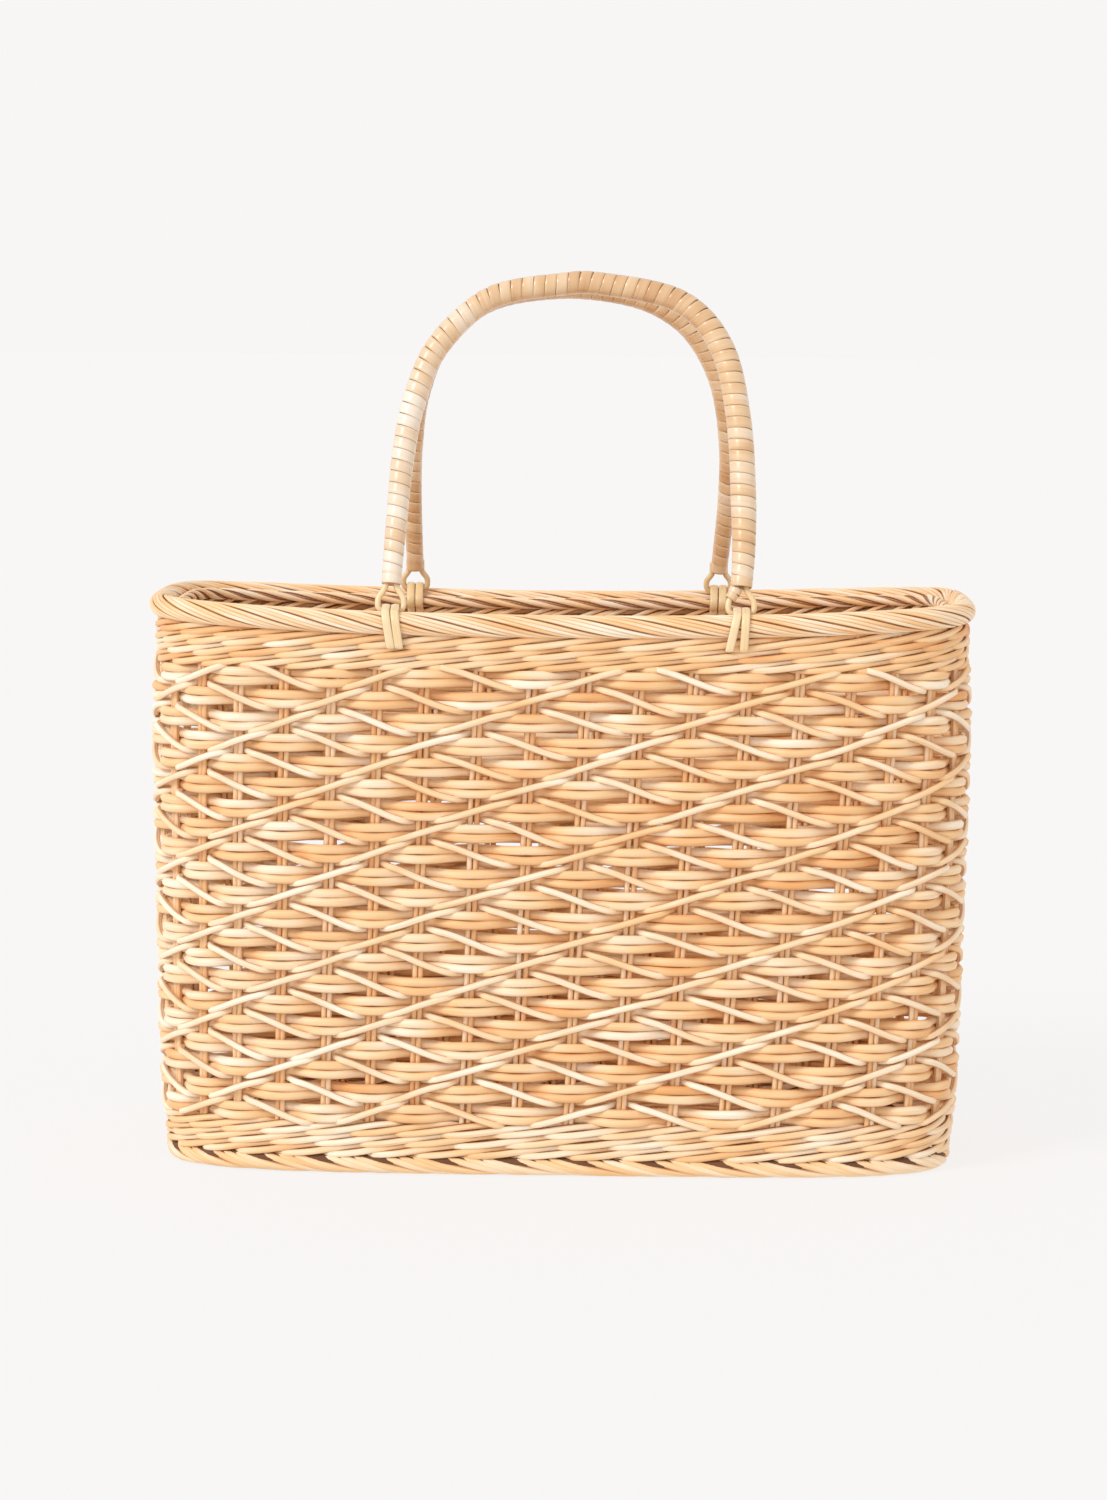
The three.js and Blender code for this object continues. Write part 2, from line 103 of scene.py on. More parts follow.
# White paper: evenly bright, with no gloss or texture to be seen.
paper = bpy.data.materials.new("white_paper")
paper.use_nodes = True
tree = paper.node_tree
tree.nodes.clear()
matt = add_node(tree, "BsdfDiffuse", {}, {"Color": srgb(PAPER_WHITE)})
glow = add_node(tree, "Emission", {}, {"Color": srgb(PAPER_WHITE), "Strength": GLOW_BRIGHTNESS})
blend = add_node(tree, "MixShader", {}, {0: PAPER_GLOW, 1: matt.outputs[0], 2: glow.outputs[0]})
add_node(tree, "OutputMaterial", {}, {"Surface": blend.outputs[0]})

bpy.ops.mesh.primitive_plane_add(size=FLOOR_SIZE, location=(0, 0, 0))
floor = bpy.context.object
floor.name = "paper_sweep"
floor.data.materials.append(paper)

world = bpy.data.worlds.new("studio")
bpy.context.scene.world = world
world.use_nodes = True
tree = world.node_tree
tree.nodes.clear()
rays = add_node(tree, "LightPath", {}, {})
room = add_node(tree, "Background", {}, {"Color": (1, 1, 1, 1), "Strength": ROOM_LIGHT})
seen = add_node(tree, "Background", {}, {"Color": srgb(PAPER_WHITE), "Strength": 1.0})
both = add_node(
    tree, "MixShader", {}, {0: rays.outputs["Is Camera Ray"], 1: room.outputs[0], 2: seen.outputs[0]}
)
add_node(tree, "OutputWorld", {}, {"Surface": both.outputs[0]})

toward_key = Vector(
    (
        math.sin(KEY_AZIMUTH) * math.cos(KEY_HEIGHT),
        -math.cos(KEY_AZIMUTH) * math.cos(KEY_HEIGHT),
        math.sin(KEY_HEIGHT),
    )
)
bpy.ops.object.light_add(type="SUN", rotation=toward_key.to_track_quat("Z", "Y").to_euler())
key = bpy.context.object
key.name = "key_light"
key.data.energy = KEY_STRENGTH
key.data.angle = KEY_SOFTNESS


# Foot border: the bag stands on a thick plaited border of peeled round cane. Its canes come out from under
# the side in threes, fall steeply to the right, then lie flat along the bottom and turn under the next ones.
MM = 0.001
PLAN_EXPONENT = 4.4
STAKES = 40
# The first stake stands a little left of the middle of the front, and all lean the same way round.
STAKE_START = 0.62
STAKE_LEAN = 0.00116
# Even spacing holds along the middle of the front. Towards the corners the stakes crowd together: even is a
# place in stakes from the middle of the front, moved is how far the stake there has moved round.
STAKE_CROWDING = [
    {"even": -20.0, "moved": 0.0},
    {"even": -9.6, "moved": 1.0},
    {"even": -8.6, "moved": 0.9},
    {"even": -6.6, "moved": 0.45},
    {"even": -4.6, "moved": 0.26},
    {"even": -2.6, "moved": 0.0},
    {"even": 5.4, "moved": 0.0},
    {"even": 7.4, "moved": -0.3},
    {"even": 9.4, "moved": -0.62},
    {"even": 20.0, "moved": 0.0},
]
WEAVE_MIDDLE_INSET = 5.1
# Between the foot and the rim the two ends are a little fuller than the straight line from one to the other.
END_FULLNESS = 2.2
FOOT_GROUPS = 30
FOOT_GROUP_START = -0.34
FOOT_CANE_STARTS = (0.0, 0.24, 0.48)
FOOT_CANE_DIAMETER = 3.6
FOOT_CANE_RUN = 1.9
FOOT_CANE_STEPS = 26
FOOT_FIRST_ANGLE = 122
FOOT_LAST_ANGLE = -84
FOOT_STEEPNESS = 2.0
# Past the middle of its run a cane sinks in by this much, under the next ones.
FOOT_TUCK = 0.7
FOOT_UNEVENNESS = 0.08
REED_PALE = "#fef0d9"
REED_TAN = "#f8cf9b"
REED_DEEP = "#eaab6c"
# Painted shade: the dark brown mixed in at each cane's edges, where one cane lies against the next.
REED_GROOVE_SHADE = "#a95f2e"

rng = np.random.default_rng(11)


def corner_mm(node):
    """Highest corner of a CAD node's box, in millimetres."""
    return np.array(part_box(node)[1]) / MM


foot_corner = corner_mm("foot_rope")
side_corner = corner_mm("side_weave")
foot_radius = foot_corner[2] / 2


def half_sizes(z):
    """Half length and half depth of the side's outer face at a height."""
    share = (z - foot_radius) / (side_corner[2] - foot_radius)
    return [foot_corner[i] + (side_corner[i] - foot_corner[i]) * share for i in (0, 1)]


WAIST = 134.25
waist_half = half_sizes(WAIST)
plan_turn = np.linspace(-np.pi / 2, 1.5 * np.pi, 4001)
plan_reach = (
    np.abs(np.cos(plan_turn) / waist_half[0]) ** PLAN_EXPONENT
    + np.abs(np.sin(plan_turn) / waist_half[1]) ** PLAN_EXPONENT
) ** (-1 / PLAN_EXPONENT)
plan_x = plan_reach * np.cos(plan_turn)
plan_y = plan_reach * np.sin(plan_turn)
plan_length = np.concatenate([[0], np.cumsum(np.hypot(np.diff(plan_x), np.diff(plan_y)))])
STAKE_SPACING = plan_length[-1] / STAKES
plan_stake = plan_length / STAKE_SPACING


def round_place(stake, z):
    """Where a stake stands at a height, in stake spacings round the waist from the middle of the front."""
    even = (stake - STAKE_START + STAKE_LEAN * (z - WAIST) + STAKES / 2) % STAKES - STAKES / 2
    places = [row["even"] for row in STAKE_CROWDING]
    return (even + np.interp(even, places, [row["moved"] for row in STAKE_CROWDING])) % STAKES


def beside(stake, z, out):
    """Points and outward directions on the woven side. stake counts the stakes from the front's middle
    to the right, z is the height and out the distance from the middle of the side's thickness."""
    stake, z, out = np.broadcast_arrays(stake, z, out)
    place = round_place(stake, z)
    half = half_sizes(z)
    share = [np.interp(place, plan_stake, plan_x) / waist_half[0]]
    share.append(np.interp(place, plan_stake, plan_y) / waist_half[1])
    outward = [np.sign(share[i]) * np.abs(share[i]) ** (PLAN_EXPONENT - 1) / half[i] for i in (0, 1)]
    size = np.hypot(*outward)
    outward = np.stack([outward[0] / size, outward[1] / size, np.zeros_like(size)], -1)
    face = np.stack([share[0] * half[0], share[1] * half[1], z], -1)
    risen = np.clip((z - foot_radius) / (side_corner[2] - foot_radius), 0, 1)
    fullness = END_FULLNESS * (1 - np.abs(2 * risen - 1) ** 6) * outward[..., 0] ** 2
    return face + outward * (out + fullness - WEAVE_MIDDLE_INSET)[..., None], outward


def unit(vectors):
    return vectors / np.linalg.norm(vectors, axis=-1, keepdims=True)


def wander(count, steps, size, slowest, fastest):
    """Smooth seeded drift for each cane, which ends as it starts. slowest and fastest count its waves along
    the cane."""
    place = np.arange(steps) / steps * 2 * np.pi
    drift = np.zeros((count, steps))
    for wave in range(slowest, fastest + 1):
        phase = rng.uniform(0, 2 * np.pi, (count, 1))
        drift += rng.normal(0, 1, (count, 1)) * np.cos(wave * place + phase)
    return size * drift / math.sqrt((fastest - slowest + 1) / 2)


def cane_mesh(name, lines, facing, width, thickness=None, sides=6, closed=False, tone=0.5, flat=1.0):
    """One object of joined canes. lines and facing hold points and outward directions by cane and step.
    flat under 1 gives a flat strip with rounded edges. The attribute grain runs across and along each cane
    in millimetres, tone is how pale the cane is and crest how near a point is to its front or back, which is
    the mask for the painted shade at the edges."""
    count, steps, _ = lines.shape
    if closed:
        along = np.roll(lines, -1, 1) - np.roll(lines, 1, 1)
    else:
        along = np.gradient(lines, axis=1)
    across = unit(np.cross(along, facing))
    outward = unit(np.cross(across, along))
    wide = np.broadcast_to(width, (count, steps))[:, :, None] / 2
    thick = wide if thickness is None else np.broadcast_to(thickness, (count, steps))[:, :, None] / 2
    turn = np.arange(sides) / sides * 2 * np.pi
    sideways = wide * np.sign(np.cos(turn)) * np.abs(np.cos(turn)) ** flat
    upwards = thick * np.sign(np.sin(turn)) * np.abs(np.sin(turn)) ** flat
    rings = lines[:, :, None] + across[:, :, None] * sideways[..., None]
    rings = rings + outward[:, :, None] * upwards[..., None]

    cane, step, side = np.ogrid[:count, : steps if closed else steps - 1, :sides]

    def corner(step, side):
        return (cane * steps + step % steps) * sides + side % sides

    steps_and_sides = ((step, side), (step + 1, side), (step + 1, side + 1), (step, side + 1))
    faces = np.stack([corner(*place) for place in steps_and_sides], -1).reshape(-1, 4).tolist()
    walls = len(faces)
    if not closed:
        for first in range(0, count * steps * sides, steps * sides):
            last = first + (steps - 1) * sides
            faces += [list(range(first, first + sides)), list(range(last + sides - 1, last - 1, -1))]

    mesh = bpy.data.meshes.new(name)
    mesh.from_pydata((rings.reshape(-1, 3) * MM).tolist(), [], faces)
    mesh.polygons.foreach_set("use_smooth", [i < walls for i in range(len(faces))])
    travelled = np.cumsum(np.linalg.norm(np.diff(lines, axis=1, prepend=lines[:, :1]), axis=-1), 1)
    grain = np.stack([sideways, upwards, np.broadcast_to(travelled[..., None], sideways.shape)], -1)
    grain = grain + rng.uniform(0, 900, (count, 1, 1, 3))
    attribute = mesh.attributes.new("grain", "FLOAT_VECTOR", "POINT")
    attribute.data.foreach_set("vector", grain.astype(np.float32).ravel())
    shade = np.broadcast_to(tone, (count, steps))[..., None] * np.ones(sides)
    crest = np.ones((count, steps, 1)) * np.abs(np.sin(turn))
    for field, values in (("tone", shade), ("crest", crest)):
        attribute = mesh.attributes.new(field, "FLOAT", "POINT")
        attribute.data.foreach_set("value", values.astype(np.float32).ravel())
    piece = bpy.data.objects.new(name, mesh)
    bpy.context.scene.collection.objects.link(piece)
    return piece


def cane_finish(name, colours, fibre, roughness, streak, groove, coat=0.0):
    """Cane: a pale to deep ramp by each cane's tone, with riper patches along it and fibres that are fibre
    millimetres wide. streak is how dark the fibres are and groove how dark the painted shade is at the
    cane's edges, where one cane lies against the next."""
    pale, tan, deep, dark = [srgb(colour) for colour in colours]
    material = bpy.data.materials.new(name)
    material.use_nodes = True
    tree = material.node_tree
    tree.nodes.clear()
    grain = add_node(tree, "Attribute", {"attribute_name": "grain"}, {}).outputs["Vector"]
    tone = add_node(tree, "Attribute", {"attribute_name": "tone"}, {}).outputs["Fac"]
    crest = add_node(tree, "Attribute", {"attribute_name": "crest"}, {}).outputs["Fac"]
    # The fibres run along the cane, a hundred times as long as they are wide.
    drawn = add_node(tree, "Mapping", {}, {"Vector": grain, "Scale": (1 / fibre, 1 / fibre, 0.01 / fibre)})
    fibres = add_node(tree, "TexNoise", {}, {"Vector": drawn.outputs[0], "Scale": 1.0, "Detail": 3.0})
    # Patches of ripe and unripe cane, about 8 mm across and 3 cm along.
    slow = add_node(tree, "Mapping", {}, {"Vector": grain, "Scale": (0.12, 0.12, 0.035)})
    patches = add_node(tree, "TexNoise", {}, {"Vector": slow.outputs[0], "Scale": 1.0, "Detail": 2.0})
    shift = add_node(tree, "Math", {"operation": "MULTIPLY_ADD"}, {0: patches.outputs[0], 1: 0.9, 2: -0.45})
    level = add_node(tree, "Math", {"operation": "ADD", "use_clamp": True}, {0: tone, 1: shift.outputs[0]})
    ramp = add_node(tree, "ValToRGB", {}, {"Fac": level.outputs[0]})
    ramp.color_ramp.elements[0].color = deep
    ramp.color_ramp.elements[1].color = pale
    ramp.color_ramp.elements.new(0.5).color = tan
    thin = add_node(
        tree,
        "MapRange",
        {},
        {"Value": fibres.outputs[0], "From Min": 0.5, "From Max": 0.75, "To Max": streak},
    )
    streaked = add_node(
        tree,
        "Mix",
        {"data_type": "RGBA", "blend_type": "MULTIPLY"},
        {0: thin.outputs[0], 6: ramp.outputs[0], 7: deep},
    )
    # Painted shade: where crest is low, at the cane's edges, the colour is mixed towards the dark groove
    # colour.
    edge = add_node(
        tree,
        "MapRange",
        {"interpolation_type": "SMOOTHSTEP"},
        {"Value": crest, "From Min": 0.05, "From Max": 0.5, "To Min": groove, "To Max": 0.0},
    )
    colour = add_node(
        tree, "Mix", {"data_type": "RGBA"}, {0: edge.outputs[0], 6: streaked.outputs[2], 7: dark}
    )
    bump = add_node(tree, "Bump", {}, {"Height": fibres.outputs[0], "Strength": 0.35, "Distance": 0.0001})
    surface = add_node(
        tree,
        "BsdfPrincipled",
        {},
        {
            "Base Color": colour.outputs[2],
            "Roughness": roughness,
            "Normal": bump.outputs[0],
            "Coat Weight": coat,
            "Coat Roughness": 0.22,
        },
    )
    add_node(tree, "OutputMaterial", {}, {"Surface": surface.outputs[0]})
    return material


def around(stake, z, out, angle, radius):
    """Points at an angle and radius round a line that follows the side, and the directions away from it.
    An angle of 0 faces out and of 90 degrees up."""
    stake, z, out, angle, radius = np.broadcast_arrays(stake, z, out, angle, radius)
    middle, outward = beside(stake, z, out)
    away = outward * np.cos(angle)[..., None] + np.array([0, 0, 1]) * np.sin(angle)[..., None]
    return middle + away * radius[..., None], away


foot_share = np.linspace(0, 1, FOOT_CANE_STEPS)[None]
foot_starts = (np.arange(FOOT_GROUPS)[:, None] + FOOT_CANE_STARTS).reshape(-1, 1)
foot_fall = 1 - (1 - foot_share) ** FOOT_STEEPNESS
foot_angle = np.radians(FOOT_FIRST_ANGLE + (FOOT_LAST_ANGLE - FOOT_FIRST_ANGLE) * foot_fall)
foot_tuck = FOOT_TUCK * np.clip(2 * foot_share - 1, 0, 1) ** 2
foot_uneven = wander(len(foot_starts), FOOT_CANE_STEPS, FOOT_UNEVENNESS, 1, 3)
foot_lines, foot_facing = around(
    FOOT_GROUP_START + (foot_starts + FOOT_CANE_RUN * foot_share) * STAKES / FOOT_GROUPS,
    foot_radius,
    WEAVE_MIDDLE_INSET - foot_radius,
    foot_angle,
    foot_radius - FOOT_CANE_DIAMETER / 2 - foot_tuck + foot_uneven,
)
foot_border = cane_mesh(
    "foot_border",
    foot_lines,
    foot_facing,
    FOOT_CANE_DIAMETER,
    tone=0.55 + rng.uniform(-0.15, 0.15, (len(foot_starts), 1)),
)

# The rod that the canes are laid round is seen in the openings above their flat stretches. It is painted
# dark brown, as the shade in those openings.
FOOT_CORE_DIAMETER = 7.4
FOOT_CORE_HEIGHT = 6.0
CORE_STEPS_PER_STAKE = 4
CORE_SIDES = 8
core_stake = np.arange(STAKES * CORE_STEPS_PER_STAKE)[None] / CORE_STEPS_PER_STAKE
core_lines, core_facing = beside(core_stake, FOOT_CORE_HEIGHT, WEAVE_MIDDLE_INSET - foot_radius)
foot_core = cane_mesh(
    "foot_core", core_lines, core_facing, FOOT_CORE_DIAMETER, sides=CORE_SIDES, closed=True, tone=0.0
)

# Peeled round cane: a dry, satin straw colour from cream to honey, with fine fibres and painted brown shade
# at the edges.
REED_COLOURS = (REED_PALE, REED_TAN, REED_DEEP, REED_GROOVE_SHADE)
round_cane = cane_finish("peeled_round_cane", REED_COLOURS, 0.35, 0.5, 0.35, 0.55)
# Rods inside the borders: painted the brown of the shade that is seen down in the grooves.
SHADED_COLOURS = ("#b98250", "#8a552a", "#6b3f1e", "#4a2a14")
shaded_cane = cane_finish("rod_in_painted_shade", SHADED_COLOURS, 0.35, 0.6, 0.3, 0.3)
for piece, finish in ((foot_border, round_cane), (foot_core, shaded_cane)):
    piece.data.materials.append(finish)
    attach(piece, "basket")
    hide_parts("foot_rope")


# Wales: bands of three-rod waling below and above the weave. Each round cane passes in front of two stakes
# and behind one, and climbs a little as it goes, so the band is made of slanting canes.
WALE_CANE_DIAMETER = 3.75
WALE_SWING = 3.0
WALE_CLIMB = 2.4
WALE_FRONT_SHARE = 0.7
# The canes of each row are this share of their course ahead of those in the row below.
WALE_ROW_SHIFT = 0.41
# Under 1, a cane comes out to the front faster than it sinks away again.
WALE_FRONT_LEAD = 0.55
WALE_STEPS_PER_STAKE = 7
WALE_ROUNDS = 3
LOWER_WALE_ROWS = (11.6, 16.8, 22.0)
UPPER_WALE_ROWS = (246.9, 251.9, 256.9)
# Painted shade: the dark brown mixed in at the edges of the waling canes.
WALE_GROOVE_SHADE = "#8a4a22"
RIM_END_RISE = 5.8
RIM_HALF_LENGTH = 198.4


def rim_rise(stake):
    """How far the rim has risen at a place, towards the basket's two ends."""
    x = np.interp(round_place(np.asarray(stake), WAIST), plan_stake, plan_x)
    return RIM_END_RISE * (x / RIM_HALF_LENGTH) ** 2


def waled_rows(row_heights, sunk):
    """One line to a row. It goes three times round and meets its start, as three canes side by side do."""
    steps = STAKES * WALE_STEPS_PER_STAKE * WALE_ROUNDS
    stake = (np.arange(steps) / WALE_STEPS_PER_STAKE + STAKES / 2)[None]
    lines = []
    facing = []
    for number, (height, inward) in enumerate(zip(row_heights, sunk)):
        share = (stake / WALE_ROUNDS + WALE_ROW_SHIFT * number) % 1
        ahead = np.clip(share / WALE_FRONT_SHARE, 0, 1)
        behind = np.clip((share - WALE_FRONT_SHARE) / (1 - WALE_FRONT_SHARE), 0, 1)
        climb = np.where(behind > 0, np.cos(np.pi * behind), -np.cos(np.pi * ahead))
        swing = np.where(behind > 0, -np.sin(np.pi * behind), np.sin(np.pi * ahead**WALE_FRONT_LEAD))
        z = height(stake) + WALE_CLIMB * climb + wander(1, steps, 0.12, 2, 30)
        out = WALE_SWING * swing - inward(stake) + wander(1, steps, 0.1, 2, 30)
        points, outward = beside(stake, z, out)
        lines.append(points)
        facing.append(outward)
    return np.concatenate(lines), np.concatenate(facing)


def level(z):
    """A row that stays at one height, or one depth."""
    return lambda stake: z


def wale_piece(name, row_heights, sunk, tone):
    """A band of rows. Their heights, and how far they are sunk in, are functions of the stake."""
    lines, facing = waled_rows(row_heights, sunk)
    count, steps, _ = lines.shape
    tone = tone + rng.uniform(-0.12, 0.12, (count, 1)) + wander(count, steps, 0.16, 3, 40)
    piece = cane_mesh(name, lines, facing, WALE_CANE_DIAMETER, closed=True, tone=tone)
    piece.data.materials.append(waled_cane)
    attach(piece, "basket")
    return piece


# Round cane in a band: the same straw colour, with a deeper brown painted as shade where the canes press
# together.
WALED_COLOURS = (REED_PALE, REED_TAN, REED_DEEP, WALE_GROOVE_SHADE)
waled_cane = cane_finish("round_cane_painted_groove_shade", WALED_COLOURS, 0.35, 0.5, 0.45, 1.0)
lower_wale = wale_piece("lower_waling", [level(z) for z in LOWER_WALE_ROWS], [level(0)] * 3, 0.58)
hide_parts("lower_wale")

# A fourth row lies behind the third in the middle and comes into view as the rim rises to the ends.
TOP_ROW_HIDDEN = 2.4
TOP_ROW_ABOVE = 0.6
TOP_ROW_FOLLOWS = 0.8
top_row = UPPER_WALE_ROWS[-1] + TOP_ROW_ABOVE
# Its tone is lower than the lower band's: painted shadow from the rim above it.
upper_wale = wale_piece(
    "upper_waling",
    [level(z) for z in UPPER_WALE_ROWS] + [lambda stake: top_row + TOP_ROW_FOLLOWS * rim_rise(stake)],
    [level(0)] * 3 + [lambda stake: TOP_ROW_HIDDEN * (1 - rim_rise(stake) / RIM_END_RISE)],
    0.45,
)
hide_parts("upper_wale")


# Stakes: pairs of straight round cane that stand in the foot and carry the weave. At the top they bend over
# into the rolled rim.
STAKE_DIAMETER = 2.8
STAKE_PAIR_OFFSET = 1.42
STAKE_STEPS = 30
STAKE_FOOT = 7.0
STAKE_TOP = 261.0

stake_numbers = np.repeat(np.arange(STAKES), 2)[:, None]
pair_side = np.tile([-1, 1], STAKES)[:, None] * STAKE_PAIR_OFFSET / STAKE_SPACING
stake_heights = np.linspace(STAKE_FOOT, STAKE_TOP, STAKE_STEPS)[None] + rim_rise(stake_numbers)
loose = wander(2 * STAKES, STAKE_STEPS, 0.006, 1, 4)
stake_lines, stake_facing = beside(stake_numbers + pair_side + loose, stake_heights, 0.0)
stakes = cane_mesh(
    "stakes",
    stake_lines,
    stake_facing,
    STAKE_DIAMETER,
    tone=0.5 + rng.uniform(-0.2, 0.2, (2 * STAKES, 1)),
)
stakes.data.materials.append(round_cane)
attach(stakes, "basket")
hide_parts("side_weave")


# Doubled weavers: rows of two round canes laid one on the other, in front of one stake pair and behind the
# next. They bulge over the stakes and pinch together where they dive between them.
ROWS = 21
ROW_PITCH = 10.5
WEAVER_DIAMETER = 4.65
WEAVER_SWING = 3.55
WEAVER_PAIR_OFFSET = 2.15
WEAVER_PINCH = 0.14
# How far the two canes of a row slip in and out against each other, and how blunt their bulges are.
WEAVER_SLIP = 0.25
WEAVER_BLUNTNESS = 0.08
WEAVER_STEPS_PER_STAKE = 7

weaver_steps = STAKES * WEAVER_STEPS_PER_STAKE
weaver_stake = (np.arange(weaver_steps) / WEAVER_STEPS_PER_STAKE + STAKES / 2)[None]
row_number = np.arange(ROWS)[:, None] - ROWS // 2
row_height = WAIST + ROW_PITCH * row_number + wander(ROWS, weaver_steps, 0.3, 1, 6)


def doubled_weavers():
    """The lower canes of all rows and then the upper ones."""
    lines = []
    facing = []
    for up in (-1, 1):
        past = weaver_stake - row_number
        swing = np.cos(np.pi * past) - WEAVER_BLUNTNESS * np.cos(3 * np.pi * past)
        swell = 1 + wander(ROWS, weaver_steps, 0.03, 10, 20)
        offset = WEAVER_PAIR_OFFSET + WEAVER_PINCH * np.cos(2 * np.pi * past)
        offset = offset + wander(ROWS, weaver_steps, 0.1, 8, 24)
        slip = WEAVER_SLIP * up * np.cos(2 * np.pi * past)
        out = WEAVER_SWING * swing * swell + slip
        points, outward = beside(weaver_stake, row_height + up * offset, out)
        lines.append(points)
        facing.append(outward)
    return np.concatenate(lines), np.concatenate(facing)


# The left end of the basket is a little paler than the right: painted light, for the key that comes from the
# left.
LEFT_END_PAINTED_LIGHT = 0.16


# Painted light: extra tone towards the left end.
def painted_left_light(lines):
    return LEFT_END_PAINTED_LIGHT * np.clip(-lines[..., 0] / side_corner[0], 0, 1)


weaver_lines, weaver_facing = doubled_weavers()
weavers = cane_mesh(
    "doubled_weavers",
    weaver_lines,
    weaver_facing,
    WEAVER_DIAMETER + wander(2 * ROWS, weaver_steps, 0.08, 3, 12),
    sides=7,
    closed=True,
    tone=0.5
    + painted_left_light(weaver_lines)
    + rng.uniform(-0.15, 0.15, (2 * ROWS, 1))
    + wander(2 * ROWS, weaver_steps, 0.13, 3, 16),
)
weavers.data.materials.append(round_cane)
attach(weavers, "basket")
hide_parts("side_weave")


# Crossing weavers: one thin round cane to a row. It passes in front of the stakes where the doubled weavers
# go behind, falling at one and rising at the next, and the rising ones line up into long diagonals.
CROSSING_DIAMETER = 3.4
CROSSING_SWING = 3.9
CROSSING_RISE = 5.9
CROSSING_LIFT = 0.4
CROSSING_STEPS_PER_STAKE = 12
# Between these places, in stake spacings from where it is in front, the cane dives behind the next stakes.
CROSSING_DIVE = (0.58, 0.97)
# The rising canes run partly straight, the falling ones in an S.
CROSSING_STRAIGHTNESS = 0.45

crossing_steps = STAKES * CROSSING_STEPS_PER_STAKE
crossing_stake = (np.arange(crossing_steps) / CROSSING_STEPS_PER_STAKE + STAKES / 2)[None]
past = crossing_stake - row_number
phase = past % 4
eased = np.cos(np.pi / 2 * phase)
straight = np.where(phase < 2, 1 - phase, phase - 3)
straightness = np.where(phase < 2, 0.0, CROSSING_STRAIGHTNESS)
crossing_climb = eased * (1 - straightness) + straight * straightness
crossing_row = np.array([np.interp(crossing_stake[0], weaver_stake[0], row) for row in row_height])
crossing_uneven = wander(ROWS, crossing_steps, 0.2, 6, 20)
dive_start, dive_end = CROSSING_DIVE
dive = np.clip((np.abs(past % 2 - 1) - dive_start) / (dive_end - dive_start), 0, 1)
crossing_lines, crossing_facing = beside(
    crossing_stake,
    crossing_row + CROSSING_LIFT + CROSSING_RISE * crossing_climb + crossing_uneven,
    CROSSING_SWING * np.cos(np.pi * dive),
)
crossing_weavers = cane_mesh(
    "crossing_weavers",
    crossing_lines,
    crossing_facing,
    CROSSING_DIAMETER,
    closed=True,
    tone=0.68
    + painted_left_light(crossing_lines)
    + rng.uniform(-0.1, 0.1, (ROWS, 1))
    + wander(ROWS, crossing_steps, 0.08, 3, 12),
)
crossing_weavers.data.materials.append(round_cane)
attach(crossing_weavers, "basket")
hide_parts("side_weave")


# Rim roll: the stakes' ends, bent over and rolled round each other in flat groups of three, which run down
# to the right. A dark groove divides the groups.
RIM_AXIS = 264.6
RIM_ROLL_DIAMETER = 11.2
RIM_AXIS_INSET = 3.7
RIM_GROUPS = 5
RIM_GROUP_CANES = 3
RIM_TURNS = 8
RIM_CANE_WIDTH = 1.95
RIM_CANE_THICKNESS = 1.75
RIM_CANE_SPACING = math.radians(21.0)
RIM_PHASE = math.radians(10)
RIM_STEPS_PER_STAKE = 8
RIM_CORE_DIAMETER = 7.4

rim_angles = [
    RIM_PHASE + 2 * np.pi * group / RIM_GROUPS + RIM_CANE_SPACING * (cane - 1)
    for group in range(RIM_GROUPS)
    for cane in range(RIM_GROUP_CANES)
]


def twisted(first_angles, turns, radius, out, drop, steps_per_stake):
    """Canes laid up round a line that follows the rim, closed at the middle of the back. Seen from outside
    they run down to the right."""
    stake = (np.arange(STAKES * steps_per_stake) / steps_per_stake + STAKES / 2)[None]
    angle = np.reshape(first_angles, (-1, 1)) - 2 * np.pi * turns * stake / STAKES
    return around(stake, RIM_AXIS - drop + rim_rise(stake), out, angle, radius)


rim_out = WEAVE_MIDDLE_INSET - RIM_AXIS_INSET
rim_radius = (RIM_ROLL_DIAMETER - RIM_CANE_THICKNESS) / 2
rim_lines, rim_facing = twisted(rim_angles, RIM_TURNS, rim_radius, rim_out, 0, RIM_STEPS_PER_STAKE)
rim_roll = cane_mesh(
    "rim_border",
    rim_lines,
    rim_facing,
    RIM_CANE_WIDTH,
    RIM_CANE_THICKNESS,
    closed=True,
    tone=0.62 + wander(len(rim_angles), rim_lines.shape[1], 0.14, 3, 20),
)
# The filling's tone is set far below the others: painted shade for where it shows down in the grooves
# between the groups.
core_lines, core_facing = twisted([0], 0, 0, rim_out, 0, RIM_STEPS_PER_STAKE)
rim_core = cane_mesh(
    "rim_filling", core_lines, core_facing, RIM_CORE_DIAMETER, sides=CORE_SIDES, closed=True, tone=-0.4
)
for piece in (rim_roll, rim_core):
    piece.data.materials.append(round_cane)
    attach(piece, "basket")
    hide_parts("rim_roll")


# Inner rope: a plump rope of three canes along the inner side of the roll, with the stakes' cut ends coming
# out from under it in slanting pairs.
ROPE_INWARD = 8.68
ROPE_DROP = 0.61
ROPE_CANES = 3
ROPE_TURNS = 20
ROPE_CANE_DIAMETER = 3.2
ROPE_TWIST_RADIUS = 1.5
ROPE_STEPS_PER_STAKE = 12

rope_angles = [2 * np.pi * cane / ROPE_CANES for cane in range(ROPE_CANES)]
rope_lines, rope_facing = twisted(
    rope_angles, ROPE_TURNS, ROPE_TWIST_RADIUS, rim_out - ROPE_INWARD, ROPE_DROP, ROPE_STEPS_PER_STAKE
)
inner_rope = cane_mesh(
    "inner_rope",
    rope_lines,
    rope_facing,
    ROPE_CANE_DIAMETER,
    closed=True,
    tone=0.65 + wander(ROPE_CANES, rope_lines.shape[1], 0.12, 3, 20),
)

END_DIAMETER = 2.7
END_STEPS = 12
END_TOP = 264.0
END_FALL = 14.5
END_RUN = 1.4
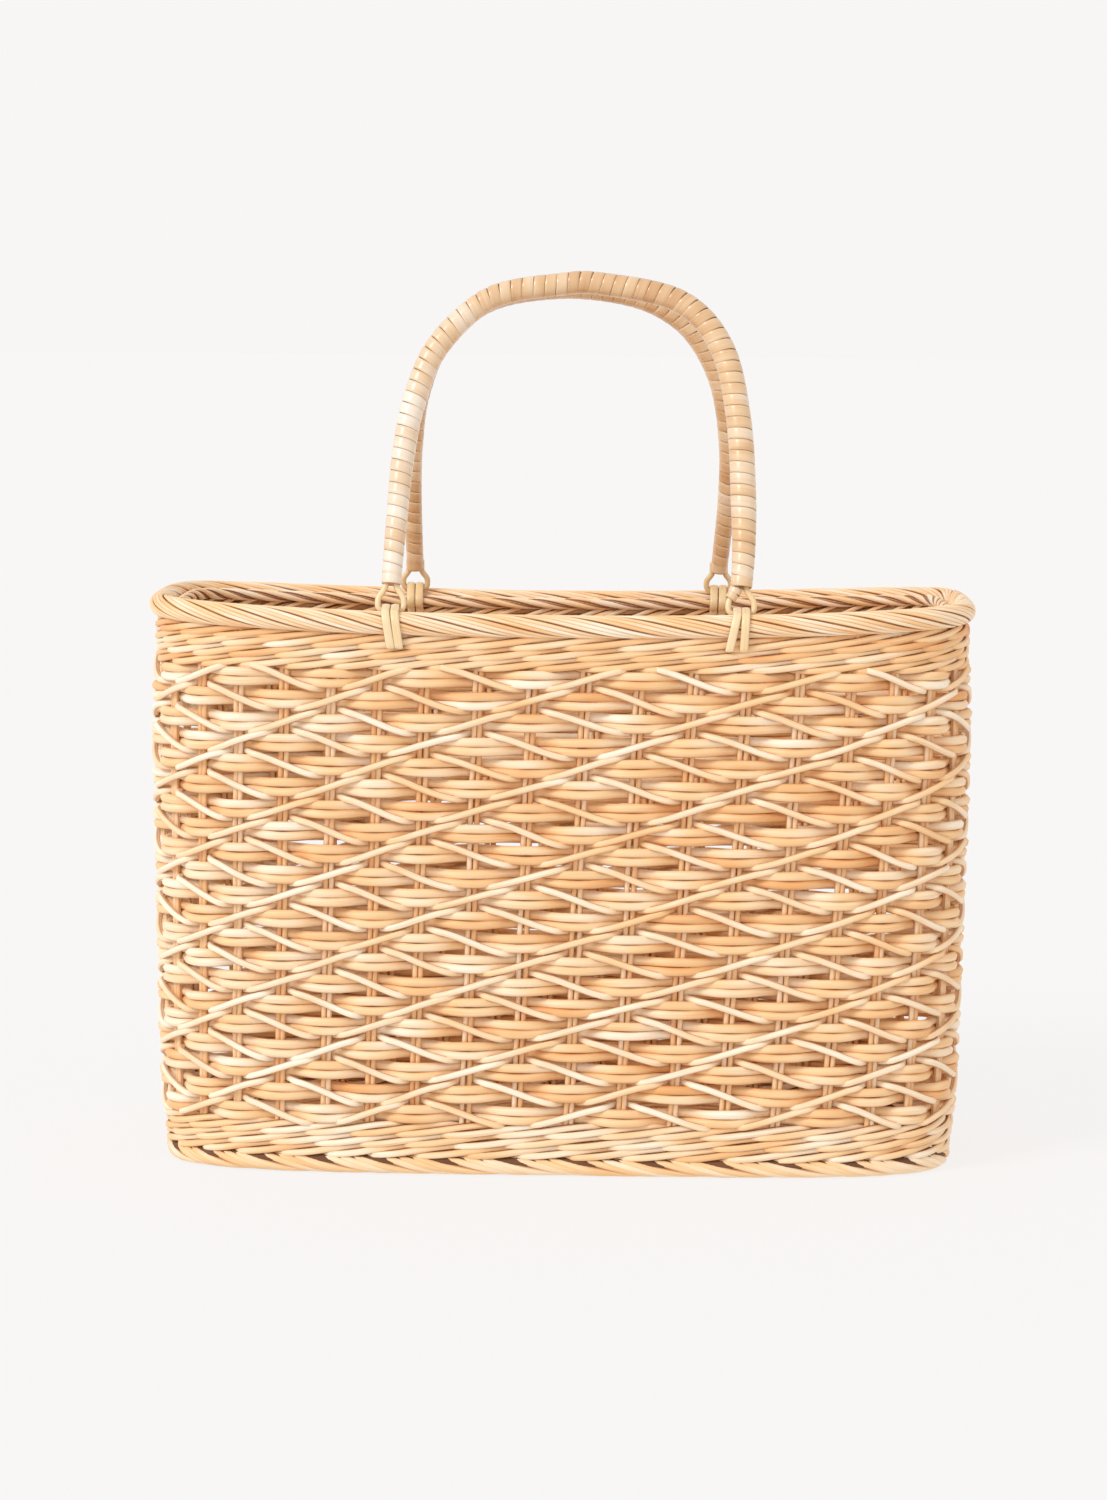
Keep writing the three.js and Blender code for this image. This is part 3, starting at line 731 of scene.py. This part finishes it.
# Each stake's two ends start at these places after it and this far in from the middle of the side, and come
# out a little as they fall.
END_PLACES = (0.1, 0.55)
END_INWARD = 6.2
END_OUTWARD_RUN = 1.0
end_number = np.repeat(np.arange(STAKES), 2)[:, None] + np.tile(END_PLACES, STAKES)[:, None]
end_share = np.linspace(0, 1, END_STEPS)[None]
end_stake = end_number + END_RUN * end_share
end_lines, end_facing = beside(
    end_stake,
    END_TOP + rim_rise(end_stake) - END_FALL * end_share,
    END_OUTWARD_RUN * end_share - END_INWARD,
)
stake_ends = cane_mesh(
    "stake_ends", end_lines, end_facing, END_DIAMETER, tone=0.55 + rng.uniform(-0.1, 0.1, (2 * STAKES, 1))
)
for piece in (inner_rope, stake_ends):
    piece.data.materials.append(waled_cane)
    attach(piece, "basket")
    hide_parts("rim_inner_rope")


# Base: a plain woven mat inside the foot. Pairs of cane run across it and single canes weave along it.
MAT_STICK_SPACING = 24.2
MAT_CANE_PITCH = 5.3
MAT_CANE_DIAMETER = 3.0
MAT_SWING = 1.4
MAT_HEIGHT = 8.0
MAT_CANE_STEPS = 129
MAT_STICK_STEPS = 9
MAT_STICKS_FROM_MIDDLE = 7

mat_half = corner_mm("base_mat")


def mat_reach(place, half_here, half_there):
    """Half length of the mat's canes at a place across them."""
    return half_there * (1 - np.abs(place / half_here) ** PLAN_EXPONENT) ** (1 / PLAN_EXPONENT)


mat_places = np.arange(-mat_half[1] + MAT_CANE_PITCH / 2, mat_half[1], MAT_CANE_PITCH)
mat_canes = []
for number, y in enumerate(mat_places):
    x = np.linspace(-1, 1, MAT_CANE_STEPS) * mat_reach(y, mat_half[1], mat_half[0])
    wave = MAT_SWING * np.cos(np.pi * x / MAT_STICK_SPACING + np.pi * number)
    mat_canes.append(np.stack(np.broadcast_arrays(x, y, MAT_HEIGHT + wave), -1))
mat_canes = np.array(mat_canes)
mat_weave = cane_mesh(
    "base_canes",
    mat_canes,
    np.broadcast_to([0.0, 0.0, 1.0], mat_canes.shape),
    MAT_CANE_DIAMETER,
    tone=0.45 + rng.uniform(-0.2, 0.2, (len(mat_canes), 1)),
)
stick_places = np.arange(-MAT_STICKS_FROM_MIDDLE, MAT_STICKS_FROM_MIDDLE + 1) * MAT_STICK_SPACING
stick_places = np.concatenate([stick_places - STAKE_PAIR_OFFSET, stick_places + STAKE_PAIR_OFFSET])
sticks = []
for x in stick_places:
    y = np.linspace(-1, 1, MAT_STICK_STEPS) * mat_reach(x, mat_half[0], mat_half[1])
    sticks.append(np.stack(np.broadcast_arrays(x, y, MAT_HEIGHT), -1))
sticks = np.array(sticks)
mat_sticks = cane_mesh(
    "base_sticks", sticks, np.broadcast_to([0.0, 0.0, 1.0], sticks.shape), STAKE_DIAMETER, tone=0.4
)
for piece in (mat_weave, mat_sticks):
    piece.data.materials.append(round_cane)
    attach(piece, "basket")
    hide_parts("base_mat")


# Ties: flat strips split from cane, wound twice round the rim, the inner rope and a handle's loop, and
# pulled tight through the side below the rim. They are a little glossy and yellower than the weave.
STRIP_WIDTH = 4.1
STRIP_THICKNESS = 1.5
STRIP_CLEARANCE = 0.12
STRIP_FLATNESS = 0.9
STRIP_SIDES = 12
STRIP_STEPS = 70
ROPE_RADIUS = 2.8
LOOP_CANE_DIAMETER = 2.9
SEAT_INWARD = 4.72
SEAT_UP = 5.63
SLOT_UP = -11.2
SLOT_OUTSIDE = -3.7
SLOT_INSIDE = 4.4
TIE_PALE = "#f9e6c2"
TIE_TAN = "#f0cf9a"
TIE_DEEP = "#d2a066"
# Painted shade: the dark colour mixed in at the strips' edges.
TIE_GROOVE_SHADE = "#9a6a3a"

HANDLES = {"front": -1, "back": 1}
tilt_axis = {name: frame["joints"][i]["pos_m"] for i, name in enumerate(HANDLES)}


def smooth_line(points, steps):
    """Rounds a polyline off through its points, evenly stepped."""
    points = np.asarray(points, float)
    ends = np.concatenate([2 * points[:1] - points[1:2], points, 2 * points[-1:] - points[-2:-1]])
    fine = []
    for i in range(len(points) - 1):
        a, b, c, d = ends[i : i + 4]
        t = np.linspace(0, 1, 12, endpoint=False)[:, None]
        bend = 2 * a - 5 * b + 4 * c - d + (3 * b - 3 * c + d - a) * t
        fine.append(0.5 * (2 * b + (c - a) * t + bend * t**2))
    fine = np.concatenate(fine + [points[-1:]])
    length = np.concatenate([[0], np.cumsum(np.linalg.norm(np.diff(fine, axis=0), axis=1))])
    place = np.linspace(0, length[-1], steps)
    return np.stack([np.interp(place, length, fine[:, i]) for i in range(3)], -1)


def arc(middle, radius, start, end, steps):
    """Points of an arc, as inward and up."""
    turn = np.radians(np.linspace(start, end, steps))
    return [(middle[0] + radius * math.cos(a), middle[1] + radius * math.sin(a)) for a in turn]


def leaving(first, first_radius, second, second_radius):
    """Direction in which a tight strip leaves one round for the next, in degrees."""
    run = (second[0] - first[0], second[1] - first[1])
    share = (first_radius - second_radius) / math.hypot(*run)
    return math.degrees(math.atan2(run[1], run[0]) + math.acos(share))


strip_stand_off = STRIP_CLEARANCE + STRIP_THICKNESS / 2
roll_round = ((0, 0), RIM_ROLL_DIAMETER / 2 + strip_stand_off)
cane_round = ((SEAT_INWARD, SEAT_UP), LOOP_CANE_DIAMETER / 2 + strip_stand_off)
rope_round = ((ROPE_INWARD, -ROPE_DROP), ROPE_RADIUS + strip_stand_off)
over_cane = leaving(*roll_round, *cane_round)
over_rope = leaving(*cane_round, *rope_round)
# One turn's middle line from the slot's outer mouth over the rim to its inner mouth, as inward and up.
tie_section = [
    (SLOT_OUTSIDE + 2.4, SLOT_UP - 0.3),
    (SLOT_OUTSIDE - 0.4, SLOT_UP),
    (SLOT_OUTSIDE - 1.5, SLOT_UP + 1.6),
    *arc(*roll_round, 190, over_cane, 6),
    *arc(*cane_round, over_cane, over_rope, 5),
    *arc(*rope_round, over_rope, -75, 5),
    (SLOT_INSIDE + 1.3, SLOT_UP + 0.7),
    (SLOT_INSIDE - 1.5, SLOT_UP),
]

# How far each turn leans: its top and bottom as places beside the foot of the handle, first and second turn.
TIE_LEANS = {
    ("front", "left"): [(-2.0, 0.6), (2.3, 4.6)],
    ("front", "right"): [(-1.8, -5.4), (2.2, 1.4)],
    ("back", "left"): [(-2.2, -1.6), (2.1, 2.6)],
    ("back", "right"): [(-2.2, -2.7), (2.2, 1.6)],
}


def foot_place(name, side):
    """Where a handle's loop stands along the rim, in millimetres."""
    low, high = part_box(f"loop_{name}_{side}")
    return (low.x + high.x) / 2 / MM


# Split cane: a smooth, half-glossy skin, pale yellow with a soft light along its middle and painted shade at
# its edges.
TIE_COLOURS = (TIE_PALE, TIE_TAN, TIE_DEEP, TIE_GROOVE_SHADE)
split_cane = cane_finish("split_cane_strip", TIE_COLOURS, 0.5, 0.32, 0.25, 0.6, 0.35)
for (name, side), turns in TIE_LEANS.items():
    front = HANDLES[name]
    roll_y = tilt_axis[name][1] / MM + front * SEAT_INWARD
    roll_z = tilt_axis[name][2] / MM - SEAT_UP
    lines = []
    facing = []
    for top, bottom in turns:
        points = []
        for inward, up in tie_section:
            share = (up - SLOT_UP) / (SEAT_UP - SLOT_UP)
            x = foot_place(name, side) + bottom + (top - bottom) * min(share, 1.0)
            points.append((x, roll_y - front * inward, roll_z + up))
        line = smooth_line(points, STRIP_STEPS)
        lines.append(line)
        along = np.gradient(line, axis=0)
        facing.append(unit(np.cross(along, np.array([-front, 0.0, 0.0]))))
    tie = cane_mesh(
        f"tie_{name}_{side}_strip",
        np.array(lines),
        np.array(facing),
        STRIP_WIDTH,
        STRIP_THICKNESS,
        sides=STRIP_SIDES,
        tone=0.6 + rng.uniform(-0.1, 0.1, (2, 1)),
        flat=STRIP_FLATNESS,
    )
    tie.data.materials.append(split_cane)
    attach(tie, "basket")
    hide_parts(f"tie_{name}_{side}")


# Loops: at each end of a handle a round cane is bent into an eye. Its legs run up into the wrapping, and its
# bottom lies under the tie, which is what the handle tilts on.
LOOP_HALF_WIDTH = 6.1
LOOP_CORNER = 2.3
LOOP_SHOULDER = 4.2
LOOP_LEG_OFFSETS = {"front": 2.5, "back": 3.2}
LOOP_HEIGHTS = {"front": 12.5, "back": 10.0}
LOOP_HIDDEN = 5.0
LOOP_STEPS = 64
HANDLE_LEAN = math.radians(15)


def leaning(name, points):
    """Puts a handle's points, given upright from its axis, where it leans in over the bag."""
    points = np.asarray(points, float)
    turn = HANDLES[name] * HANDLE_LEAN
    y = points[..., 1] * math.cos(turn) - points[..., 2] * math.sin(turn)
    z = points[..., 1] * math.sin(turn) + points[..., 2] * math.cos(turn)
    return np.stack([points[..., 0], y, z], -1)


def placed(name, points):
    """Puts a handle's points where they stand at rest."""
    return leaning(name, points) + np.array([0, tilt_axis[name][1], tilt_axis[name][2]]) / MM


def half_eye(name):
    """Right half of a loop's middle line, as across and up."""
    corner = [math.radians(a) for a in (0, 30, 60, 90)]
    straight = LOOP_HALF_WIDTH - LOOP_CORNER
    height = LOOP_HEIGHTS[name]
    offset = LOOP_LEG_OFFSETS[name]
    points = [(straight + LOOP_CORNER * math.sin(a), LOOP_CORNER * (1 - math.cos(a))) for a in corner]
    for step in range(6):
        share = (1 - math.cos(step / 5 * math.pi)) / 2
        across = LOOP_HALF_WIDTH + (offset - LOOP_HALF_WIDTH) * share
        points.append((across, LOOP_SHOULDER + (height - LOOP_SHOULDER) * step / 5))
    return points + [(offset, height + LOOP_HIDDEN)]


for name in HANDLES:
    for side in ("left", "right"):
        half = half_eye(name)
        x = foot_place(name, side)
        points = [(x - a, 0, up) for a, up in reversed(half)] + [(x + a, 0, up) for a, up in half]
        line = smooth_line(points, LOOP_STEPS)
        loop = cane_mesh(
            f"eye_{name}_{side}",
            placed(name, line)[None],
            leaning(name, np.broadcast_to([0.0, 1.0, 0.0], line.shape))[None],
            LOOP_CANE_DIAMETER,
            sides=10,
            tone=0.62,
        )
        loop.data.materials.append(split_cane)
        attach(loop, f"handle_{name}")
        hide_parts(f"loop_{name}_{side}")


# Grips: a bent cane wrapped from end to end with flat glossy peel, one turn hard against the next. Each turn
# is slightly domed, and its edges are painted with fine dark lines of shade.
GRIP_DIAMETER = 11.8
PEEL_WIDTH = 5.5
PEEL_THICKNESS = 0.9
PEEL_FLATNESS = 0.5
PEEL_STEPS_PER_TURN = 22
GRIP_STEPS = 400
# The cane inside needs only some of the grip's steps. It reaches a little into the wrapping, so that no
# gap shows between the turns.
GRIP_CORE_EVERY = 8
GRIP_CORE_SIDES = 14
PEEL_PALE = "#f4e4d0"
PEEL_TAN = "#e6c195"
PEEL_DEEP = "#cb9560"
# Painted shade: the dark line mixed in at the edges of each turn of peel.
PEEL_GROOVE_SHADE = "#8a5a30"
HANDLE_HEIGHTS = {"front": 159.4, "back": 157.7}
# Middle line and girth from the left foot to the right: across as a share of half the span between the feet,
# up as a share of the handle's height, girth as a share of the grip's diameter.
ARCHES = {
    "front": [
        {"across": -1.0, "up": 0.078, "girth": 0.79},
        {"across": -0.976, "up": 0.273, "girth": 0.86},
        {"across": -0.945, "up": 0.47, "girth": 0.94},
        {"across": -0.887, "up": 0.638, "girth": 0.98},
        {"across": -0.756, "up": 0.807, "girth": 0.97},
        {"across": -0.461, "up": 0.953, "girth": 0.94},
        {"across": -0.058, "up": 0.998, "girth": 0.93},
        {"across": 0.193, "up": 1.0, "girth": 0.93},
        {"across": 0.634, "up": 0.948, "girth": 0.97},
        {"across": 0.878, "up": 0.808, "girth": 1.0},
        {"across": 0.979, "up": 0.585, "girth": 1.02},
        {"across": 1.009, "up": 0.343, "girth": 1.04},
        {"across": 1.012, "up": 0.187, "girth": 0.94},
        {"across": 1.0, "up": 0.078, "girth": 0.86},
    ],
    "back": [
        {"across": -1.0, "up": 0.063, "girth": 0.73},
        {"across": -1.01, "up": 0.322, "girth": 0.76},
        {"across": -1.004, "up": 0.487, "girth": 0.86},
        {"across": -0.958, "up": 0.657, "girth": 0.93},
        {"across": -0.806, "up": 0.833, "girth": 0.94},
        {"across": -0.497, "up": 0.958, "girth": 0.93},
        {"across": -0.052, "up": 1.0, "girth": 0.93},
        {"across": 0.348, "up": 0.984, "girth": 0.93},
        {"across": 0.627, "up": 0.935, "girth": 0.94},
        {"across": 0.841, "up": 0.842, "girth": 0.94},
        {"across": 0.991, "up": 0.689, "girth": 0.9},
        {"across": 1.049, "up": 0.487, "girth": 0.82},
        {"across": 1.04, "up": 0.289, "girth": 0.75},
        {"across": 1.0, "up": 0.063, "girth": 0.72},
    ],
}


def arch_line(name, steps):
    """A grip's middle line, upright from its axis, and its girth along it."""
    rows = ARCHES[name]
    feet = [foot_place(name, side) for side in ("left", "right")]
    middle = sum(feet) / 2
    half_span = (feet[1] - feet[0]) / 2
    points = [(middle + row["across"] * half_span, 0, row["up"] * HANDLE_HEIGHTS[name]) for row in rows]
    line = smooth_line(points, steps)
    chords = np.linalg.norm(np.diff(np.array(points), axis=0), axis=1)
    stations = np.concatenate([[0], np.cumsum(chords)]) / chords.sum()
    girth = np.interp(np.linspace(0, 1, steps), stations, [row["girth"] for row in rows])
    return line, girth * GRIP_DIAMETER


def wrapped(name, line, girth, pitch):
    """Flat peel wound round a line as one long strip, with a closing ring at each end. Gives its line, the
    directions away from the grip and how many turns have been made. Edges fall to the right on both legs."""
    length = np.concatenate([[0], np.cumsum(np.linalg.norm(np.diff(line, axis=0), axis=1))])
    turns = length[-1] / pitch + 1
    made = np.linspace(0, turns, int(turns * PEEL_STEPS_PER_TURN))
    place = pitch * np.clip(made - 0.5, 0.5, turns - 1.5)
    middle = np.stack([np.interp(place, length, line[:, i]) for i in range(3)], -1)
    slope = np.stack([np.interp(place, length, np.gradient(line, axis=0)[:, i]) for i in range(3)], -1)
    depthways = np.array([0.0, 1.0, 0.0])
    sideways = unit(np.cross(unit(slope), depthways))
    away = sideways * np.cos(2 * np.pi * made)[:, None] + depthways * np.sin(2 * np.pi * made)[:, None]
    radius = np.interp(place, length, girth) / 2 - PEEL_THICKNESS / 2
    strip = middle + away * radius[:, None]
    return placed(name, strip)[None], leaning(name, away)[None], made


# The front handle's left leg is wrapped in unripe, nearly white peel, and the crowns in the ripest.
# Tones at the left leg, the crown and the right leg, which are at these shares of the wrapping.
PEEL_TONES = {"front": (0.8, 0.3, 0.52), "back": (0.4, 0.4, 0.45)}
PEEL_TONE_PLACES = (0.2, 0.5, 0.8)
# Peel: the cane's own shiny skin, ivory to light tan, with a thin line of painted shade at each edge.
PEEL_COLOURS = (PEEL_PALE, PEEL_TAN, PEEL_DEEP, PEEL_GROOVE_SHADE)
peel = cane_finish("rattan_peel", PEEL_COLOURS, 0.6, 0.3, 0.22, 0.75, 0.5)
for name in HANDLES:
    line, girth = arch_line(name, GRIP_STEPS)
    lines, facing, made = wrapped(name, line, girth, PEEL_WIDTH)
    count = int(made[-1]) + 2
    turn_tone = np.interp(np.arange(count) / count, PEEL_TONE_PLACES, PEEL_TONES[name])
    turn_tone = turn_tone + rng.uniform(-0.22, 0.22, count)
    grip = cane_mesh(
        f"wrapped_grip_{name}",
        lines,
        facing,
        PEEL_WIDTH,
        PEEL_THICKNESS,
        sides=10,
        tone=np.interp(made, np.arange(count), turn_tone)[None],
        flat=PEEL_FLATNESS,
    )
    inside = line[::GRIP_CORE_EVERY]
    core = cane_mesh(
        f"grip_cane_{name}",
        placed(name, inside)[None],
        leaning(name, np.broadcast_to([0.0, 1.0, 0.0], inside.shape))[None],
        (girth - 1.5 * PEEL_THICKNESS)[::GRIP_CORE_EVERY][None],
        sides=GRIP_CORE_SIDES,
        tone=0.1,
    )
    for piece in (grip, core):
        piece.data.materials.append(peel)
        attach(piece, f"handle_{name}")
        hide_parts(f"grip_{name}")


# Binding: the end of the front handle's peel, wound a few times down the left leg of its right loop.
BINDING_TURNS = 2
BINDING_TOP_GIRTH = 6.3
BINDING_END_GIRTH = 5.0
BINDING_LENGTH = 6.6
BINDING_STEPS = 60

leg = [(foot_place("front", "right") - a, 0, up) for a, up in half_eye("front")]
leg = smooth_line([p for p in leg if p[2] <= LOOP_HEIGHTS["front"]], BINDING_STEPS)[::-1]
leg_length = np.concatenate([[0], np.cumsum(np.linalg.norm(np.diff(leg, axis=0), axis=1))])
bound = leg[leg_length < BINDING_LENGTH]
binding_girth = np.linspace(BINDING_TOP_GIRTH, BINDING_END_GIRTH, len(bound))
lines, facing, made = wrapped("front", bound, binding_girth, BINDING_LENGTH / BINDING_TURNS)
binding = cane_mesh(
    "loop_binding_strip",
    lines,
    facing,
    BINDING_LENGTH / BINDING_TURNS,
    PEEL_THICKNESS,
    sides=10,
    tone=0.6,
    flat=PEEL_FLATNESS,
)
binding.data.materials.append(peel)
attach(binding, "handle_front")
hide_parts("loop_binding")
